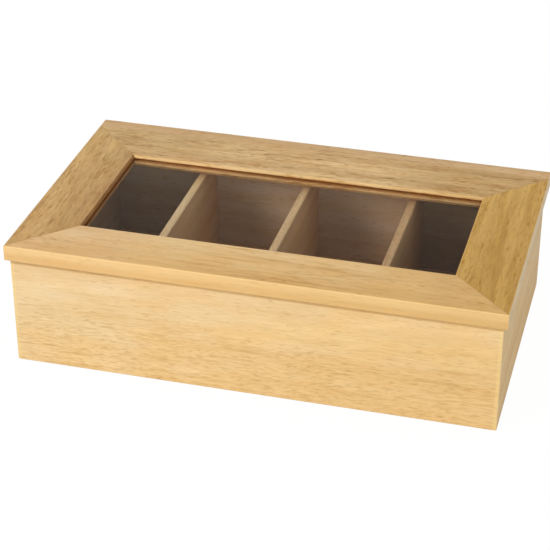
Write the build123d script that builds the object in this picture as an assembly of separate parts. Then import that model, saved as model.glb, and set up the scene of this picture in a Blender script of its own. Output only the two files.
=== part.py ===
from build123d import *
import os

# Wooden tea caddy, in millimetres.
# A low box of four mitred walls, with a base panel in a groove and three dividers housed in the
# front and back walls, so that it has four compartments. Its lid is a mitred frame that holds a
# clear pane in a groove, with a strip glued along its back edge. Two brass butt hinges under that
# strip carry the lid.
#
# The origin is the middle of the footprint, on the surface that the box stands on.
# X runs along the box, -Y is the front, +Z is up.

# Overall size
lid_length = 335.0
lid_depth = 200.0
overall_height = 90.0
lid_thickness = 11.0
side_overhang = 3.0
front_overhang = 3.0
rear_overhang = 6.0

# Lid frame, rear strip and window
rail_width = 41.0
rear_strip_depth = 11.0
upper_lip = 2.1
lower_lip = 2.7
lip_ease = 0.6
relief_width = 6.0
pane_thickness = 2.0
pane_groove_depth = 4.0
pane_gap = 0.8
pane_fit = 0.1
lid_round = 1.0
window_round = 1.9

# Box walls
wall_thickness = 13.0
corner_round = 1.0
foot_chamfer = 0.8
rim_ease = 0.5

# Base panel and dividers
base_thickness = 4.0
base_lift = 5.0
base_groove_depth = 5.0
base_fit = 0.1
divider_count = 3
divider_thickness = 5.5
divider_drop = 1.0
divider_ease = 0.6
housing_depth = 3.0
housing_fit = 0.1

# Butt hinges
hinge_length = 25.0
hinge_inset = 60.0
leaf_width = 6.5
leaf_thickness = 1.0
leaf_recess = 0.1
mortise_fit = 0.1
knuckle_radius = 1.6
knuckle_count = 3
knuckle_gap = 0.15
barrel_clearance = 0.3
barrel_notch_fit = 0.3
pin_radius = 0.75
pin_fit = 0.05
pin_chamfer = 0.2

# Countersunk hinge screws
screw_shank_radius = 1.05
countersink_land = 0.15
screw_length = 7.0
screw_tip_length = 2.0
screw_spacing = 14.0
screw_fit = 0.05
slot_width = 0.5
slot_depth = 0.4

# Places worked out from the sizes above
margin = 1.0
box_length = lid_length - 2 * side_overhang
box_depth = lid_depth - front_overhang - rear_overhang
box_centre_y = (front_overhang - rear_overhang) / 2
box_back_y = box_centre_y + box_depth / 2
inner_length = box_length - 2 * wall_thickness
inner_depth = box_depth - 2 * wall_thickness
rim_z = overall_height - lid_thickness
base_top_z = base_lift + base_thickness

frame_depth = lid_depth - rear_strip_depth
frame_centre_y = -rear_strip_depth / 2
seam_y = lid_depth / 2 - rear_strip_depth
pane_groove_top_z = overall_height - upper_lip
pane_groove_z = pane_groove_top_z - pane_thickness - pane_fit
lower_lip_z = pane_groove_z - lower_lip
window_length = lid_length - 2 * rail_width
window_depth = frame_depth - 2 * rail_width

pin_y = box_back_y + barrel_clearance + knuckle_radius
hinge_x = box_length / 2 - hinge_inset
hinge_places = {"left": -hinge_x, "right": hinge_x}
knuckle_pitch = hinge_length / knuckle_count
leaf_flat_middle = (leaf_width + knuckle_radius) / 2
screw_head_depth = leaf_thickness - countersink_land
screw_head_radius = screw_shank_radius + screw_head_depth

# The side of the pin's level on which a leaf lies
BOX = -1
LID = 1

node_names = []


def write(name, shape, colour):
    """Writes one sub-part to its own file."""
    shape.label = name
    shape.color = Color(*colour)
    export_step(shape, f"parts/{name}.step")
    node_names.append(name)


def block(length, depth, bottom, top, x=0.0, y=0.0):
    """An upright block about (x, y), from one height to another."""
    height = top - bottom
    return Pos(x, y, bottom) * Box(length, depth, height, align=(Align.CENTER, Align.CENTER, Align.MIN))


def mitre_wedges(length, depth, reach, bottom, top, centre_y):
    """Four prisms that part a rectangular ring along the 45 degree lines from its outer corners.

    Each reaches inwards from its side by `reach`, and a little past the ring on the outside."""
    half_x = length / 2
    half_y = depth / 2
    outer_x = half_x + margin
    outer_y = half_y + margin
    inner_x = half_x - reach
    inner_y = half_y - reach
    front = [(-outer_x, -outer_y), (outer_x, -outer_y), (inner_x, -inner_y), (-inner_x, -inner_y)]
    right = [(outer_x, -outer_y), (outer_x, outer_y), (inner_x, inner_y), (inner_x, -inner_y)]
    back = [(outer_x, outer_y), (-outer_x, outer_y), (-inner_x, inner_y), (inner_x, inner_y)]
    left = [(-outer_x, outer_y), (-outer_x, -outer_y), (-inner_x, -inner_y), (-inner_x, inner_y)]
    wedges = {}
    for side, corners in {"front": front, "right": right, "back": back, "left": left}.items():
        outline = make_face(Polyline(*corners, close=True))
        wedges[side] = Pos(0, centre_y, bottom) * extrude(outline, top - bottom)
    return wedges


# Hinges

def turned(*points):
    """A solid turned about Z from the outline of its half section, given as (radius, height)."""
    return revolve(Plane.XZ * make_face(Polyline(*points, close=True)), Axis.Z)


def screw():
    """A slotted countersunk screw with its head's face at z = 0 and its point downwards."""
    blank = turned(
        (0, 0),
        (screw_head_radius, 0),
        (screw_shank_radius, -screw_head_depth),
        (screw_shank_radius, screw_tip_length - screw_length),
        (0, -screw_length),
    )
    slot = Box(3 * screw_head_radius, slot_width, 2 * slot_depth)
    return blank - slot


def countersunk_hole():
    """The hole through a leaf: a countersink with a short plain land below it."""
    head = screw_head_radius + screw_fit
    shank = screw_shank_radius + screw_fit
    below = leaf_thickness + margin
    return turned((0, 0), (head, 0), (shank, -screw_head_depth), (shank, -below), (0, -below))


def pilot_hole():
    """The blind hole in the wood below a leaf."""
    radius = screw_shank_radius + screw_fit
    deep = screw_length + screw_fit
    return turned((0, 0), (radius, 0), (radius, -deep), (0, -deep))


def at_screws(side):
    """Places of one leaf's two screws about the pin: down from the box's leaf, up from the lid's."""
    turn = Rot(0 if side == BOX else 180, 0, 0)
    return [
        Pos(x, -leaf_flat_middle, side * leaf_recess) * turn
        for x in (-screw_spacing / 2, screw_spacing / 2)
    ]


def knuckle_x(index):
    return (index + 0.5) * knuckle_pitch - hinge_length / 2


def barrel(radius, length):
    """A cylinder about the pin's axis, which runs along X."""
    return Rot(0, 90, 0) * Cylinder(radius, length)


def hinge_leaf(side):
    """A leaf with its share of the knuckles, about the pin's axis. Even knuckles are the box leaf's."""
    plate_middle = side * (leaf_recess + leaf_thickness / 2)
    leaf = Pos(0, -leaf_width / 2, plate_middle) * Box(hinge_length, leaf_width, leaf_thickness)
    first_own = 0 if side == BOX else 1
    for index in range(knuckle_count):
        place = Pos(knuckle_x(index), 0, 0)
        if index % 2 == first_own:
            leaf += place * barrel(knuckle_radius, knuckle_pitch - knuckle_gap)
        else:
            leaf -= place * barrel(knuckle_radius + knuckle_gap, knuckle_pitch + knuckle_gap)
    leaf -= barrel(pin_radius + pin_fit, hinge_length + 2 * margin)
    for place in at_screws(side):
        leaf -= place * countersunk_hole()
    return leaf


def hinge_pin():
    """A plain pin, as long as the barrel, with its ends broken."""
    pin = barrel(pin_radius, hinge_length)
    ends = pin.edges().filter_by(GeomType.CIRCLE)
    return chamfer(ends, pin_chamfer)


def hinge_room(side):
    """The wood cut away for one leaf, its screws and, in the lid, the barrel."""
    depth = leaf_recess + leaf_thickness
    length = hinge_length + 2 * mortise_fit
    reach = leaf_width + mortise_fit
    low, high = (-depth, margin) if side == BOX else (-margin, depth)
    room = block(length, reach, low, high, y=-reach / 2)
    if side == LID:
        room += barrel(knuckle_radius + barrel_notch_fit, hinge_length + 2 * barrel_notch_fit)
    for place in at_screws(side):
        room += place * pilot_hole()
    return room


def cut_hinges(wood, side):
    """Takes both hinges' room out of a piece of wood."""
    for x in hinge_places.values():
        wood -= Pos(x, pin_y, rim_z) * hinge_room(side)
    return wood


# Box walls

def wall_ring():
    """The four walls as one ring, before the mitres: grooved for the base, housed for the dividers."""
    outer = block(box_length, box_depth, 0, rim_z, y=box_centre_y)
    outer = fillet(outer.edges().filter_by(Axis.Z), corner_round)
    foot_edges = outer.faces().sort_by(Axis.Z)[0].edges()
    outer = chamfer(foot_edges, foot_chamfer)
    ring = outer - block(inner_length, inner_depth, -margin, rim_z + margin, y=box_centre_y)
    rim_edges = ring.faces().sort_by(Axis.Z)[-1].edges()
    ring = chamfer(rim_edges, rim_ease)
    ring -= block(
        inner_length + 2 * base_groove_depth,
        inner_depth + 2 * base_groove_depth,
        base_lift,
        base_top_z + base_fit,
        y=box_centre_y,
    )
    for x in divider_places():
        ring -= block(
            divider_thickness + 2 * housing_fit,
            inner_depth + 2 * housing_depth,
            base_top_z,
            rim_z + margin,
            x=x,
            y=box_centre_y,
        )
    return ring


def divider_places():
    """Middles of the dividers, which leave equal compartments."""
    free_length = inner_length - divider_count * divider_thickness
    compartment = free_length / (divider_count + 1)
    pitch = compartment + divider_thickness
    first = -inner_length / 2 + compartment + divider_thickness / 2
    return [first + index * pitch for index in range(divider_count)]


def walls():
    """The ring parted at its mitres, with the hinges' mortises in the back wall's rim."""
    ring = wall_ring()
    reach = wall_thickness + margin
    wedges = mitre_wedges(box_length, box_depth, reach, -margin, rim_z + margin, box_centre_y)
    parted = {side: ring & wedge for side, wedge in wedges.items()}
    parted["back"] = cut_hinges(parted["back"], BOX)
    return parted


def base_panel():
    """A thin panel that rests on the lower side of the walls' groove."""
    return block(
        inner_length + 2 * (base_groove_depth - base_fit),
        inner_depth + 2 * (base_groove_depth - base_fit),
        base_lift,
        base_top_z,
        y=box_centre_y,
    )


def divider():
    """A divider board that stands on the base panel, with the edges of its top broken."""
    board = block(
        divider_thickness,
        inner_depth + 2 * (housing_depth - housing_fit),
        base_top_z,
        rim_z - divider_drop,
        y=box_centre_y,
    )
    top_edges = board.faces().sort_by(Axis.Z)[-1].edges().filter_by(Axis.Y)
    return chamfer(top_edges, divider_ease)


# Lid

def window_cut(grow, bottom, top):
    """A block with the window's outline, let out by `grow` on every side."""
    return block(window_length + 2 * grow, window_depth + 2 * grow, bottom, top, y=frame_centre_y)


def lid_slab():
    """The whole lid as one board with rounded arrises, its window cut through.

    The window's edge has an upper and a lower lip with the pane's groove between them, and is cut
    back below the lower lip."""
    slab = block(lid_length, lid_depth, rim_z, overall_height)
    slab = fillet(slab.edges().filter_by(Axis.Z), lid_round)
    level_edges = slab.faces().sort_by(Axis.Z)[0].edges() + slab.faces().sort_by(Axis.Z)[-1].edges()
    slab = fillet(level_edges, lid_round)
    slab -= window_cut(0, rim_z - margin, overall_height + margin)
    slab -= window_cut(relief_width, rim_z - margin, lower_lip_z)
    lip_underside = slab.faces().filter_by(Plane.XY).sort_by(Axis.Z)[1]
    slab = chamfer(lip_underside.inner_wires()[0].edges(), lip_ease)
    top = slab.faces().sort_by(Axis.Z)[-1]
    slab = fillet(top.inner_wires()[0].edges(), window_round)
    return slab - window_cut(pane_groove_depth, pane_groove_z, pane_groove_top_z)


def lid_pieces():
    """Parts the slab into the rear strip and four mitred rails."""
    slab = cut_hinges(lid_slab(), LID)
    strip_room = block(
        lid_length + 2 * margin,
        rear_strip_depth + margin,
        rim_z - margin,
        overall_height + margin,
        y=seam_y + (rear_strip_depth + margin) / 2,
    )
    pieces = {"rear_strip": slab & strip_room}
    frame = slab - strip_room
    reach = rail_width + margin
    wedges = mitre_wedges(
        lid_length, frame_depth, reach, rim_z - margin, overall_height + margin, frame_centre_y
    )
    for side, wedge in wedges.items():
        pieces[f"{side}_rail"] = frame & wedge
    return pieces


def window_pane():
    """A flat pane that rests on the lower side of its groove and stops short of the bottom of it."""
    return window_cut(pane_groove_depth - pane_gap, pane_groove_z, pane_groove_z + pane_thickness)


# Writing the sub-parts

wall_colour = (0.87, 0.70, 0.45)
lid_colour = (0.80, 0.62, 0.38)
panel_colour = (0.78, 0.64, 0.45)
pane_colour = (0.75, 0.80, 0.82)
brass_colour = (0.80, 0.62, 0.25)

os.makedirs("parts", exist_ok=True)

for side, wall in walls().items():
    write(f"{side}_wall", wall, wall_colour)

write("base_panel", base_panel(), panel_colour)

divider_names = ["left", "middle", "right"]
for index, x in enumerate(divider_places()):
    name = divider_names[index] if divider_count == len(divider_names) else str(index + 1)
    write(f"divider_{name}", Pos(x, 0, 0) * divider(), panel_colour)

for name, piece in lid_pieces().items():
    write(f"lid_{name}", piece, lid_colour)

write("window_pane", window_pane(), pane_colour)

screws = {"box": [], "lid": []}
for hinge_name, x in hinge_places.items():
    hinge = Pos(x, pin_y, rim_z)
    write(f"hinge_{hinge_name}_pin", hinge * hinge_pin(), brass_colour)
    for holder, side in {"box": BOX, "lid": LID}.items():
        write(f"hinge_{hinge_name}_{holder}_leaf", hinge * hinge_leaf(side), brass_colour)
        screws[holder] += [hinge * place * screw() for place in at_screws(side)]
for holder, group in screws.items():
    write(f"hinge_screws_{holder}", Compound(children=group), brass_colour)

print(len(node_names), "nodes:", ", ".join(node_names))
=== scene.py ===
import math

import bpy
import numpy as np
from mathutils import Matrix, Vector


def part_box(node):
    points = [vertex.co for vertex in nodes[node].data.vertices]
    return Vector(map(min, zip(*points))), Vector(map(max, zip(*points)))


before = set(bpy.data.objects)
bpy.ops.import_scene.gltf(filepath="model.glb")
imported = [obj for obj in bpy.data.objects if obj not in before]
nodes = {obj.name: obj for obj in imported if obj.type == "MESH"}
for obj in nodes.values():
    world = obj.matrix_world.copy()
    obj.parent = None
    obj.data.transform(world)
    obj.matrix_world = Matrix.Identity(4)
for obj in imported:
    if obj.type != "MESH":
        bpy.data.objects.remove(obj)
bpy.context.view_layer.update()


# The view of the photograph
# A long lens from the front, a little to the right of the middle and from above the lid. The
# object fills the picture, and the camera looks at a point near the middle of the box.

focal_length_px = 1772.5
picture_px = 550
sensor_mm = 36.0
camera_azimuth = math.radians(14.99)
camera_elevation = math.radians(30.53)
camera_distance = 1.2217
look_at = Vector((-0.00442, -0.01613, 0.045))

towards_camera = Vector((
    math.sin(camera_azimuth) * math.cos(camera_elevation),
    -math.cos(camera_azimuth) * math.cos(camera_elevation),
    math.sin(camera_elevation),
))
camera = bpy.data.objects.new("camera", bpy.data.cameras.new("camera"))
bpy.context.scene.collection.objects.link(camera)
camera.data.sensor_width = sensor_mm
camera.data.lens = focal_length_px / picture_px * sensor_mm
camera.data.clip_start = 0.05
camera.data.clip_end = 50.0
camera.location = look_at + camera_distance * towards_camera
camera.rotation_euler = (-towards_camera).to_track_quat("-Z", "Y").to_euler()
bpy.context.scene.camera = camera


# Box walls
# Four boards of a pale tropical hardwood, mitred at the corners and glued. They are planed, their
# arrises are eased by hand and they get a satin lacquer outside, while the inside stays bare.

def srgb(red, green, blue):
    """A colour given as it shows on a screen, from 0 to 255, as linear light."""
    shown = np.array([red, green, blue]) / 255.0
    linear = np.where(shown <= 0.04045, shown / 12.92, ((shown + 0.055) / 1.055) ** 2.4)
    return tuple(linear.tolist())


class Finish:
    """A material, or the surround, built up node by node.

    A mask is a socket that runs from 0 to 1, and a tone is a colour that multiplies another."""

    def __init__(self, name, kind=bpy.data.materials):
        self.made = kind.new(name)
        self.made.use_nodes = True
        self.tree = self.made.node_tree
        self.tree.nodes.clear()

    def add(self, kind, inputs=None, output=0, **settings):
        """Adds a node, joins or sets its inputs and returns one of its outputs."""
        made = self.tree.nodes.new("ShaderNode" + kind)
        for key, value in settings.items():
            setattr(made, key, value)
        for key, value in (inputs or {}).items():
            socket = made.inputs[key]
            if isinstance(value, bpy.types.NodeSocket):
                self.tree.links.new(value, socket)
            elif socket.type == "RGBA":
                socket.default_value = (*value, 1.0)
            else:
                socket.default_value = value
        return made.outputs[output] if len(made.outputs) else None

    def math(self, operation, *values, clamp=False):
        return self.add("Math", dict(enumerate(values)), operation=operation, use_clamp=clamp)

    def size(self, value):
        return self.math("ABSOLUTE", value)

    def every(self, *masks):
        """1 where all of the masks are 1."""
        product = masks[0]
        for mask in masks[1:]:
            product = self.math("MULTIPLY", product, mask)
        return product

    def largest(self, *values):
        found = values[0]
        for value in values[1:]:
            found = self.math("MAXIMUM", found, value)
        return found

    def between(self, value, low, high):
        """1 from `low` to `high`, without a fade."""
        return self.math("COMPARE", value, (low + high) / 2, (high - low) / 2)

    def step(self, value, low, high):
        """Rises smoothly from 0 at `low` to 1 at `high`, or falls where `high` is the smaller."""
        inputs = {"Value": value, "From Min": low, "From Max": high}
        return self.add("MapRange", inputs, interpolation_type="SMOOTHSTEP")

    def near(self, value, middle, out, full):
        """1 up to `full` from the middle, fading to 0 at `out` from it."""
        return self.step(self.size(self.math("SUBTRACT", value, middle)), out, full)

    def parts(self, vector):
        return self.add("SeparateXYZ", {0: vector}).node.outputs[:3]

    def stretched(self, vector, along, across):
        """Coordinates divided by a figure's length along the grain and its width across it."""
        scale = (1 / along, 1 / across, 1 / across)
        return self.add("VectorMath", {0: vector, 1: scale}, operation="MULTIPLY")

    def noise(self, vector, detail=2.0, roughness=0.5):
        inputs = {"Vector": vector, "Scale": 1.0, "Detail": detail, "Roughness": roughness}
        return self.add("TexNoise", inputs)

    def mix(self, mask, first, second, blend="MIX"):
        inputs = {0: mask, 6: first, 7: second}
        return self.add("Mix", inputs, output=2, data_type="RGBA", blend_type=blend)

    def stain(self, colour, *places):
        """The colour times each place's tone in turn, as far as that place's mask says."""
        for tone, mask in places:
            colour = self.mix(mask, colour, tone, "MULTIPLY")
        return colour

    def shade(self, colour, value, strength):
        """A colour made paler or deeper by a noise about its middle. The deeper it is, the warmer."""
        swing = self.math("MULTIPLY_ADD", value, 2 * strength, 1 - strength)
        red, green, blue = (self.math("POWER", swing, power) for power in (0.80, 1.0, 1.45))
        tone = self.add("CombineColor", {0: red, 1: green, 2: blue})
        return self.stain(colour, (tone, 1.0))

    def surface(self, shader):
        self.add("OutputMaterial", {"Surface": shader})
        return self.made


def wood(
    name, grain, seed, pale, deep, streaks=0.16, hairs=0.12, pores=0.6, flecks=0.0,
    figure=None, marks=None, coarse=1.0, rise=0.0, worn_and_highlit=1.0,
):
    """Lacquered wood whose figure runs along one axis of the object, `grain`.

    A slow noise bends the fibres. On them lie broad bands from `pale` to `deep`, fine streaks,
    hairs and short dark pores, all of them noises drawn out along the grain, in millimetres.
    `figure` adds a board's own figure along the fibres and `marks` what belongs to a place on it.
    `coarse` widens the streaks, `rise` slants the fibres and `worn_and_highlit` makes the arrises
    paler, partly as wear and partly as a painted highlight."""
    finish = Finish(name)
    place = finish.add("TexCoord", output=3)
    turn = -math.pi / 2 if grain == "Y" else 0.0
    board = finish.add("Mapping", {
        "Vector": place, "Scale": (1000.0, 1000.0, 1000.0), "Rotation": (0.0, 0.0, turn),
        "Location": (137.0 * seed, 61.0 * seed, 29.0 * seed),
    })
    wander = finish.noise(finish.stretched(board, 85.0, 30.0), detail=1.0)
    ripple = finish.noise(finish.stretched(board, 26.0, 9.0), detail=1.0)
    lift = finish.math("MULTIPLY_ADD", wander, 8.0, finish.math("MULTIPLY", ripple, 1.8))
    lift = finish.math("MULTIPLY_ADD", finish.parts(board)[0], -rise, lift)
    sway = finish.add("CombineXYZ", {1: lift, 2: lift})
    fibre = finish.add("VectorMath", {0: board, 1: sway}, operation="ADD")

    broad = finish.noise(finish.stretched(fibre, 240.0, 9.0), detail=3.0, roughness=0.6)
    colour = finish.mix(finish.step(broad, 0.22, 0.78), pale, deep)
    patch = finish.noise(finish.stretched(board, 60.0, 22.0))
    colour = finish.shade(colour, patch, 0.08)
    warmth = finish.noise(finish.stretched(board, 34.0, 13.0), detail=1.0)
    colour = finish.stain(colour, (warm_tone, finish.step(warmth, 0.35, 0.7)))
    if figure is not None:
        colour = figure(finish, place, fibre, colour)

    streak = finish.noise(finish.stretched(fibre, 22.0, 1.7 * coarse), roughness=0.6)
    colour = finish.shade(colour, streak, streaks)
    hair = finish.noise(finish.stretched(fibre, 8.5, 0.75 * coarse), detail=1.5)
    colour = finish.shade(colour, hair, hairs)

    crowd = finish.noise(finish.stretched(board, 40.0, 7.0))
    dash = finish.noise(finish.stretched(fibre, 7.0, 0.75 * coarse), detail=0.5)
    dash = finish.math("MULTIPLY_ADD", crowd, 0.35, dash)
    hole = finish.step(dash, 0.78, 0.94)
    colour = finish.stain(colour, (pore_tone, finish.math("MULTIPLY", hole, pores)))
    if flecks:
        spot = finish.noise(finish.stretched(fibre, 9.0, 0.9), detail=1.5, roughness=0.6)
        spot = finish.math("MULTIPLY_ADD", crowd, 0.7, spot)
        fleck = finish.math("MULTIPLY", finish.step(spot, 0.80, 1.10), flecks)
        colour = finish.stain(colour, (fleck_tone, fleck))
    if marks is not None:
        colour = marks(finish, place, colour)

    # Rounded arrises, found by their normals, are made paler, partly as wear and partly as a painted
    # highlight.
    normal = finish.add("TexCoord", output=1)
    facing = finish.parts(finish.add("VectorMath", {0: normal}, operation="ABSOLUTE"))
    arris = finish.math("MULTIPLY", finish.step(finish.largest(*facing), 0.995, 0.85), worn_and_highlit)
    colour = finish.mix(finish.math("MULTIPLY", arris, 0.35), colour, pale)
    colour = finish.stain(colour, (arris_wear_and_painted_highlight_tone, arris))

    rough = finish.math("MULTIPLY_ADD", hole, 0.2, 0.3)
    rough = finish.math("MULTIPLY_ADD", streak, 0.25, rough)
    relief = finish.math("MULTIPLY_ADD", hair, 0.35, finish.math("MULTIPLY", hole, -0.6))
    bump = finish.add("Bump", {"Strength": 0.3, "Distance": 0.0001, "Height": relief})
    shader = finish.add("BsdfPrincipled", {
        "Base Color": colour, "Roughness": rough, "Normal": bump, "Specular IOR Level": 0.2,
    })
    return finish.surface(shader)


def wall_marks(finish, place, colour):
    """Marks in their places. The inner faces are darker unlacquered wood with painted shade, darkest
    as painted shade in the end compartments; at the back of the middle ones there is painted shade to
    the left and painted light, paler, towards the right. The outer faces have a painted shadow, a
    dark line right under the lid."""
    x, y, z = finish.parts(place)
    across = finish.size(x)
    inside = finish.every(
        finish.math("LESS_THAN", across, inner_x + skin),
        finish.between(y, inner_front - skin, inner_back + skin),
    )
    # The inner faces are made darker, as unlacquered wood and as painted shade, and darkest in the
    # end compartments as painted shade.
    inside_bare_and_shade = finish.mix(finish.math("GREATER_THAN", x, end_divider), bare_and_painted_shade_tone, right_end_painted_shade_tone)
    inside_bare_and_shade = finish.mix(finish.math("LESS_THAN", x, -end_divider), inside_bare_and_shade, left_end_painted_shade_tone)
    # Painted shade and light on the back wall's inner face in the middle compartments: darker to the
    # left, paler towards the right.
    at_back = finish.every(
        inside,
        finish.math("GREATER_THAN", y, inner_back - 4 * skin),
        finish.math("LESS_THAN", across, end_divider),
    )
    compartments = finish.math("DIVIDE", finish.math("ADD", x, end_divider), end_divider)
    rightwards = finish.step(finish.math("FRACT", compartments), 0.35, 1.0)
    back_painted_light_and_shade = finish.mix(rightwards, back_left_painted_shade_tone, back_right_painted_light_tone)
    outside = finish.largest(
        finish.step(across, outer_x - 5 * skin, outer_x - skin),
        finish.step(y, outer_front + 5 * skin, outer_front + skin),
        finish.step(y, outer_back - 5 * skin, outer_back - skin),
    )
    # Painted shadow: a dark line on the outer faces right under the lid's overhang.
    under_lid = finish.step(z, rim_z - 0.0040, rim_z - 0.0024)
    return finish.stain(
        colour, (inside_bare_and_shade, inside), (back_painted_light_and_shade, at_back), (under_lid_painted_shadow_tone, finish.every(outside, under_lid))
    )


def front_figure(finish, place, fibre, colour):
    """The front board is paler at its upper left, more orange at its lower right, and has a painted
    highlight at its mitres. Its lower half has dark dashes and long veins."""
    x, y, z = finish.parts(place)
    slant = finish.math("MULTIPLY_ADD", z, -12.0, finish.math("MULTIPLY_ADD", x, 2.4, 0.6))
    colour = finish.mix(finish.math("MULTIPLY", slant, 0.7, clamp=True), colour, wall_orange)
    dash = finish.noise(finish.stretched(fibre, 9.0, 1.1), roughness=0.65)
    dash = finish.every(finish.step(z, 0.052, 0.030), finish.step(dash, 0.47, 0.72))
    vein = finish.noise(finish.stretched(fibre, 62.0, 2.3), detail=2.5)
    vein = finish.every(finish.step(z, 0.066, 0.044), finish.step(vein, 0.55, 0.72))
    left = finish.every(
        finish.step(x, -0.060, -0.085), finish.step(z, 0.066, 0.056), finish.step(z, 0.016, 0.026)
    )
    right = finish.every(
        finish.step(x, -0.02, 0.02), finish.step(z, 0.066, 0.058), finish.step(z, 0.040, 0.048)
    )
    foot = finish.step(z, 0.026, 0.014)
    colour = finish.stain(
        colour,
        ((1.0, 1.03, 1.13), finish.math("MULTIPLY", slant, -2.0, clamp=True)),
        ((0.83, 0.76, 0.66), dash),
        ((0.90, 0.85, 0.76), vein),
        ((1.02, 1.06, 1.12), left),
        ((1.0, 0.99, 0.94), right),
        ((1.02, 1.045, 1.08), foot),
    )
    # Painted highlight along the board's ends at the mitres.
    mitre = finish.step(finish.size(x), outer_x - 0.0033, outer_x - 0.0017)
    return finish.mix(finish.math("MULTIPLY", mitre, 0.4), colour, mitre_painted_highlight)


def dress(node, material):
    """Gives a piece of the frame one material in each of its slots."""
    slots = nodes[node].data.materials
    slots.clear()
    slots.append(material)


inner_x, outer_x = (corner[0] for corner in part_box("right_wall"))
outer_front, inner_front = (corner[1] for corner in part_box("front_wall"))
inner_back, outer_back = (corner[1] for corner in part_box("back_wall"))
rim_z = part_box("front_wall")[1][2]
end_divider = sum(corner[0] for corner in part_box("divider_right")) / 2
skin = 0.0001

arris_wear_and_painted_highlight_tone = (1.07, 1.07, 1.05)
pore_tone = (0.62, 0.50, 0.36)
fleck_tone = (0.74, 0.60, 0.42)
warm_tone = (1.0, 0.96, 0.88)
bare_and_painted_shade_tone = (0.74, 0.815, 1.15)
left_end_painted_shade_tone = (0.58, 0.66, 0.97)
right_end_painted_shade_tone = (0.45, 0.45, 0.54)
back_left_painted_shade_tone = (0.87, 0.87, 0.91)
back_right_painted_light_tone = (1.42, 1.42, 1.42)
under_lid_painted_shadow_tone = (0.74, 0.67, 0.55)
wall_pale = srgb(245, 215, 163)
wall_deep = srgb(232, 193, 132)
wall_orange = srgb(229, 186, 120)
mitre_painted_highlight = srgb(250, 219, 146)

wall_boards = {
    "front_wall": dict(
        grain="X", seed=1, pale=srgb(243, 211, 158), deep=srgb(235, 198, 140),
        streaks=0.10, hairs=0.10, pores=0.36, rise=0.05, figure=front_figure,
    ),
    "back_wall": dict(
        grain="X", seed=2, pale=wall_pale, deep=wall_deep, streaks=0.09, hairs=0.08, pores=0.5,
    ),
    "left_wall": dict(
        grain="Y", seed=3, pale=wall_pale, deep=wall_deep, streaks=0.10, hairs=0.08, pores=0.4,
    ),
    "right_wall": dict(
        grain="Y", seed=4, pale=wall_pale, deep=wall_deep, streaks=0.07, hairs=0.05, pores=0.25,
    ),
}
for wall, board in wall_boards.items():
    dress(wall, wood(f"{wall}_wood", marks=wall_marks, **board))


# Base panel
# A sheet of thin plywood let into a groove round the walls before they are glued up. It is sanded
# and left bare.

panel_pale = srgb(206, 174, 133)
panel_deep = srgb(186, 151, 110)
dress("base_panel", wood("base_panel_wood", "X", 5, panel_pale, panel_deep, pores=0.2))


# Dividers
# Three thin boards that slide into housings in the front and back walls and stand on the base
# panel. They are sanded, with the edges of their tops eased.

def sanded_top(tone):
    """The figure of a divider whose top has a tone of its own, mottled with darker specks."""
    def figure(finish, place, fibre, colour):
        z = finish.parts(place)[2]
        on_top = finish.step(z, divider_top - 0.0009, divider_top - 0.0005)
        speck = finish.step(finish.noise(finish.stretched(fibre, 3.2, 1.3)), 0.42, 0.66)
        return finish.stain(colour, (tone, on_top), (speck_tone, finish.every(on_top, speck)))
    return figure


divider_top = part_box("divider_middle")[1][2]
speck_tone = (0.86, 0.82, 0.76)

divider_boards = {
    "divider_left": dict(
        seed=6, pale=srgb(222, 193, 152), deep=srgb(205, 173, 131),
        figure=sanded_top((1.32, 1.38, 1.40)),
    ),
    "divider_middle": dict(
        seed=7, pale=srgb(226, 196, 153), deep=srgb(209, 176, 132),
        figure=sanded_top((1.20, 1.21, 1.22)),
    ),
    "divider_right": dict(
        seed=8, pale=srgb(222, 188, 140), deep=srgb(205, 168, 120),
        figure=sanded_top((1.04, 1.01, 1.04)),
    ),
}
for divider, board in divider_boards.items():
    dress(divider, wood(f"{divider}_wood", grain="Y", pores=0.2, **board))


# Lid frame
# Four rails of the same hardwood, mitred and glued round the window, with a strip along the back
# that carries the hinges. Each rail comes from another board, so that each has a tone of its own.

def lid_marks(finish, place, colour):
    """Marks in their places: fine glue lines at the mitres, painted shade in the pane's groove, a lip
    below it painted paler as painted light, and a front edge painted paler as painted light, paler at
    its top and darker towards its bottom as painted light and shade, and deeper at its right end."""
    x, y, z = finish.parts(place)
    across = finish.size(x)
    to_end = finish.math("SUBTRACT", lid_end, across)
    to_front = finish.math("SUBTRACT", y, lid_front)
    to_side = finish.math("MINIMUM", to_front, finish.math("SUBTRACT", lid_seam, y))
    off_mitre = finish.size(finish.math("SUBTRACT", to_end, to_side))
    by_window = finish.every(
        finish.math("LESS_THAN", across, pane_high[0] + groove_reach),
        finish.between(y, pane_low[1] - groove_reach, pane_high[1] + groove_reach),
    )
    groove = finish.every(
        by_window,
        finish.step(z, pane_low[2] - 0.0010, pane_low[2] + 0.0002),
        finish.step(z, pane_high[2] + 0.0003, pane_high[2] + 0.0001),
    )
    lip = finish.every(by_window, finish.step(z, pane_low[2] - 0.0004, pane_low[2] - 0.0012))
    # Painted shade darkens the pane's groove, and painted light makes the lip below it paler.
    colour = finish.stain(
        colour,
        (glue_tone, finish.step(off_mitre, 0.0007, 0.0001)),
        (groove_painted_shade_tone, groove),
        (lip_painted_light_tone, lip),
    )

    # The front edge is painted paler, as painted light, and darker towards its bottom, as painted
    # shade.
    front_edge = finish.step(y, lid_front + 0.0008, lid_front + 0.0002)
    colour = finish.mix(finish.math("MULTIPLY", front_edge, 0.6), colour, front_edge_painted_light)
    return finish.stain(
        colour,
        ((0.95, 0.96, 0.95), finish.every(front_edge, finish.step(x, -0.05, 0.12))),
        ((0.90, 0.85, 0.76), finish.every(front_edge, finish.step(z, 0.0875, 0.082))),
    )


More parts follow.
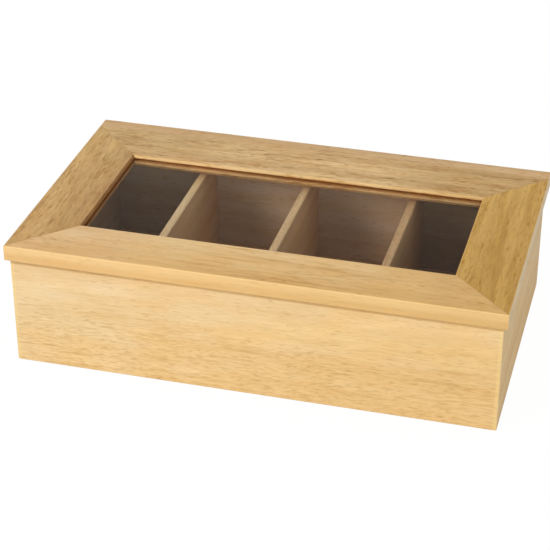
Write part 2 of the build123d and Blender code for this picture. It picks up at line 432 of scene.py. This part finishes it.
def front_rail_figure(finish, place, fibre, colour):
    """Wavy darker streaks about the middle of the rail, which is paler by the window and deeper
    at its right end."""
    x, y, z = finish.parts(place)
    wave = finish.step(finish.noise(finish.stretched(fibre, 55.0, 2.6), detail=3.0), 0.5, 0.68)
    by_window = finish.step(y, lid_front + 0.019, lid_front + 0.032)
    by_front = finish.near(y, lid_front + 0.008, 0.007, 0.003)
    return finish.stain(
        colour,
        ((0.86, 0.80, 0.68), finish.every(finish.near(x, 0.02, 0.11, 0.03), wave)),
        ((1.06, 1.12, 1.28), finish.every(by_window, finish.step(x, 0.095, 0.070))),
        ((1.0, 0.97, 0.91), finish.every(by_front, finish.step(x, 0.06, 0.0))),
        ((0.95, 0.91, 0.80), finish.step(x, -0.12, 0.16)),
        ((0.97, 0.95, 1.0), finish.step(x, -0.07, -0.10)),
        ((0.93, 0.90, 0.85), finish.step(x, 0.100, 0.125)),
    )


def back_rail_figure(finish, place, fibre, colour):
    """A paler band along the middle of the rail, paler by the window, and a darker right end."""
    x, y, z = finish.parts(place)
    band = finish.near(y, window_back + 0.021, 0.007, 0.001)
    by_window = finish.step(y, window_back + 0.015, window_back + 0.008)
    at_window = finish.step(y, window_back + 0.0055, window_back + 0.0015)
    return finish.stain(
        colour,
        ((1.12, 1.13, 1.16), finish.math("MULTIPLY", band, 0.6)),
        ((1.09, 1.12, 1.16), finish.near(x, 0.005, 0.09, 0.03)),
        ((1.10, 1.10, 1.15), finish.every(by_window, finish.step(x, -0.04, -0.07))),
        ((0.94, 0.95, 0.92), finish.step(x, -0.05, -0.11)),
        ((0.90, 0.87, 0.76), finish.step(x, 0.03, 0.13)),
        ((1.10, 1.11, 1.16), finish.every(at_window, finish.step(finish.size(x), 0.04, 0.08))),
    )


def painted_light_ends(finish, place, fibre, colour):
    """The lid's end edges are painted paler than its top, as painted light."""
    across = finish.size(finish.parts(place)[0])
    return finish.mix(finish.step(across, lid_end - 0.0007, lid_end - 0.0001), colour, ends_painted_light)


def left_rail_figure(finish, place, fibre, colour):
    """A mottled board with blotches of darker brown, paler towards the back and deeper by the window,
    with painted shade in its rounded edge by the window and beside the pane."""
    x, y, z = finish.parts(place)
    blotch = finish.noise(finish.stretched(fibre, 16.0, 6.0), detail=3.0)
    edge = finish.step(x, window_left - 0.0020, window_left - 0.0012)
    above_pane = finish.step(z, pane_high[2] - 0.0001, pane_high[2] + 0.0001)
    beside_pane = finish.every(
        finish.step(z, pane_low[2] - 0.0006, pane_low[2]), finish.math("SUBTRACT", 1.0, above_pane)
    )
    colour = finish.stain(
        colour,
        ((0.89, 0.86, 0.76), finish.step(blotch, 0.45, 0.7)),
        ((1.04, 1.07, 1.10), finish.step(y, 0.0, 0.05)),
        ((0.87, 0.84, 0.82), finish.step(x, window_left - 0.0205, window_left - 0.0095)),
        ((0.90, 0.86, 0.83), finish.step(x, window_left - 0.0095, window_left - 0.0035)),
        # Painted shade in the rounded edge by the window and beside the pane.
        ((0.50, 0.39, 0.21), finish.every(edge, above_pane)),
        ((0.75, 0.58, 0.36), finish.every(edge, beside_pane)),
    )
    return painted_light_ends(finish, place, fibre, colour)


def right_rail_figure(finish, place, fibre, colour):
    """Strong brown streaks all along the rail."""
    vein = finish.noise(finish.stretched(fibre, 70.0, 7.5), detail=3.5)
    colour = finish.stain(colour, ((0.87, 0.83, 0.66), finish.step(vein, 0.48, 0.62)))
    return painted_light_ends(finish, place, fibre, colour)


lid_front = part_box("lid_front_rail")[0][1]
lid_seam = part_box("lid_back_rail")[1][1]
lid_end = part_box("lid_right_rail")[1][0]
window_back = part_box("lid_back_rail")[0][1]
window_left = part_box("lid_left_rail")[1][0]
pane_low, pane_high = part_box("window_pane")
groove_reach = 0.0009

glue_tone = (0.90, 0.86, 0.78)
groove_painted_shade_tone = (0.92, 0.68, 0.42)
lip_painted_light_tone = (1.17, 1.18, 1.22)
front_edge_painted_light = srgb(248, 209, 148)
ends_painted_light = srgb(243, 218, 174)

lid_boards = {
    "lid_front_rail": dict(
        grain="X", seed=11, pale=srgb(249, 210, 148), deep=srgb(234, 190, 124),
        streaks=0.11, hairs=0.09, pores=0.45, figure=front_rail_figure,
    ),
    "lid_back_rail": dict(
        grain="X", seed=12, pale=srgb(234, 197, 140), deep=srgb(209, 168, 111),
        streaks=0.18, hairs=0.14, pores=0.8, flecks=0.9, figure=back_rail_figure,
    ),
    "lid_left_rail": dict(
        grain="Y", seed=13, pale=srgb(230, 188, 123), deep=srgb(204, 161, 97),
        streaks=0.20, hairs=0.26, flecks=0.45, figure=left_rail_figure, worn_and_highlit=0.0,
    ),
    "lid_right_rail": dict(
        grain="Y", seed=14, pale=srgb(226, 181, 96), deep=srgb(199, 152, 69),
        streaks=0.15, hairs=0.15, pores=0.5, flecks=0.3, figure=right_rail_figure,
    ),
    "lid_rear_strip": dict(
        grain="X", seed=15, pale=srgb(232, 192, 140), deep=srgb(212, 172, 118),
        streaks=0.14, hairs=0.10, flecks=0.3, figure=painted_light_ends,
    ),
}
for rail, board in lid_boards.items():
    dress(rail, wood(f"{rail}_wood", marks=lid_marks, coarse=1.5, **board))


# Window pane
# A clear acrylic sheet held in a groove round the rails' inner edges, put in when the frame is
# glued up.

pane_sheen = 1.11
pane = Finish("clear_acrylic")
see_through = pane.add("BsdfTransparent", {"Color": (0.95, 0.945, 0.935)})
shine = pane.add("BsdfGlossy", {"Roughness": 0.03, "Color": (1.0, 1.0, 1.0)})
seen_from_within = pane.add("NewGeometry", output=6)
seen_from_outside = pane.math("SUBTRACT", 1.0, seen_from_within)
share = pane.math("MULTIPLY", pane.add("Fresnel", {"IOR": pane_sheen}), seen_from_outside)
dress("window_pane", pane.surface(pane.add("MixShader", {0: share, 1: see_through, 2: shine})))


# Hinges
# Two small brass butts, pressed from sheet with their knuckles rolled round a pin, and let into
# the back wall's rim and the rear strip with countersunk brass screws.

def brass(name, tone, roughness):
    """Brushed brass: a metal whose brush marks are a noise drawn out along the hinge."""
    finish = Finish(name)
    place = finish.add("TexCoord", output=3)
    mark = finish.noise(finish.add("Mapping", {"Vector": place, "Scale": (150.0, 4000.0, 4000.0)}))
    spot = finish.noise(finish.add("Mapping", {"Vector": place, "Scale": (220.0, 220.0, 220.0)}))
    colour = finish.mix(finish.step(spot, 0.35, 0.7), tone, tarnish)
    rough = finish.math("MULTIPLY_ADD", mark, 0.25, roughness)
    bump = finish.add("Bump", {"Strength": 0.2, "Distance": 0.00003, "Height": mark})
    shader = finish.add("BsdfPrincipled", {
        "Base Color": colour, "Metallic": 1.0, "Roughness": rough, "Normal": bump,
    })
    return finish.surface(shader)


tarnish = srgb(168, 128, 62)
leaf_brass = brass("leaf_brass", srgb(212, 172, 92), 0.22)
pin_brass = brass("pin_brass", srgb(200, 160, 84), 0.3)
screw_brass = brass("screw_brass", srgb(222, 184, 104), 0.18)
for side in ("left", "right"):
    dress(f"hinge_{side}_pin", pin_brass)
    dress(f"hinge_{side}_box_leaf", leaf_brass)
    dress(f"hinge_{side}_lid_leaf", leaf_brass)
dress("hinge_screws_box", screw_brass)
dress("hinge_screws_lid", screw_brass)


# Studio
# A white floor that keeps a faint shadow, a white surround for whatever mirrors it, and soft
# lamps from the front.

floor_half = 3.0
corners = floor_half * np.array([[-1, -1, 0], [1, -1, 0], [1, 1, 0], [-1, 1, 0]], float)
floor_mesh = bpy.data.meshes.new("floor")
floor_mesh.from_pydata(corners.tolist(), [], [(0, 1, 2, 3)])
floor = bpy.data.objects.new("floor", floor_mesh)
bpy.context.scene.collection.objects.link(floor)

glow = 1.04
glow_share = 0.92
white_floor = Finish("white_floor")
seen_by_camera = white_floor.add("LightPath")
matt = white_floor.add("BsdfDiffuse", {"Color": (0.8, 0.8, 0.8)})
bright = white_floor.add("Emission", {"Color": (1.0, 1.0, 1.0), "Strength": glow})
share = white_floor.math("MULTIPLY", seen_by_camera, glow_share)
floor_mesh.materials.append(
    white_floor.surface(white_floor.add("MixShader", {0: share, 1: matt, 2: bright}))
)

ambient = 0.6
surround = Finish("surround", bpy.data.worlds)
bpy.context.scene.world = surround.made
path = surround.add("LightPath").node.outputs
seen = surround.largest(
    path["Is Camera Ray"], path["Is Glossy Ray"], path["Is Transmission Ray"]
)
lit = surround.add("Background", {"Color": (1.0, 1.0, 1.0), "Strength": ambient})
white = surround.add("Background", {"Color": (1.0, 1.0, 1.0), "Strength": 1.0})
surround.add("OutputWorld", {"Surface": surround.add("MixShader", {0: seen, 1: lit, 2: white})})

# Each lamp: bearing from the front towards the right, height above the horizon, distance, size
# and power
lamps = {
    "key": (-42.0, 33.0, 2.2, 0.9, 11.4),
    "fill": (14.0, 9.0, 2.4, 1.2, 15.4),
}
for name, (bearing, height, distance, size, power) in lamps.items():
    bearing, height = math.radians(bearing), math.radians(height)
    away = Vector((
        math.sin(bearing) * math.cos(height), -math.cos(bearing) * math.cos(height), math.sin(height),
    ))
    lamp = bpy.data.objects.new(name, bpy.data.lights.new(name, "AREA"))
    bpy.context.scene.collection.objects.link(lamp)
    lamp.data.shape = "DISK"
    lamp.data.size = size
    lamp.data.energy = power
    lamp.location = look_at + distance * away
    lamp.rotation_euler = away.to_track_quat("Z", "Y").to_euler()

bpy.context.scene.view_settings.view_transform = "Standard"
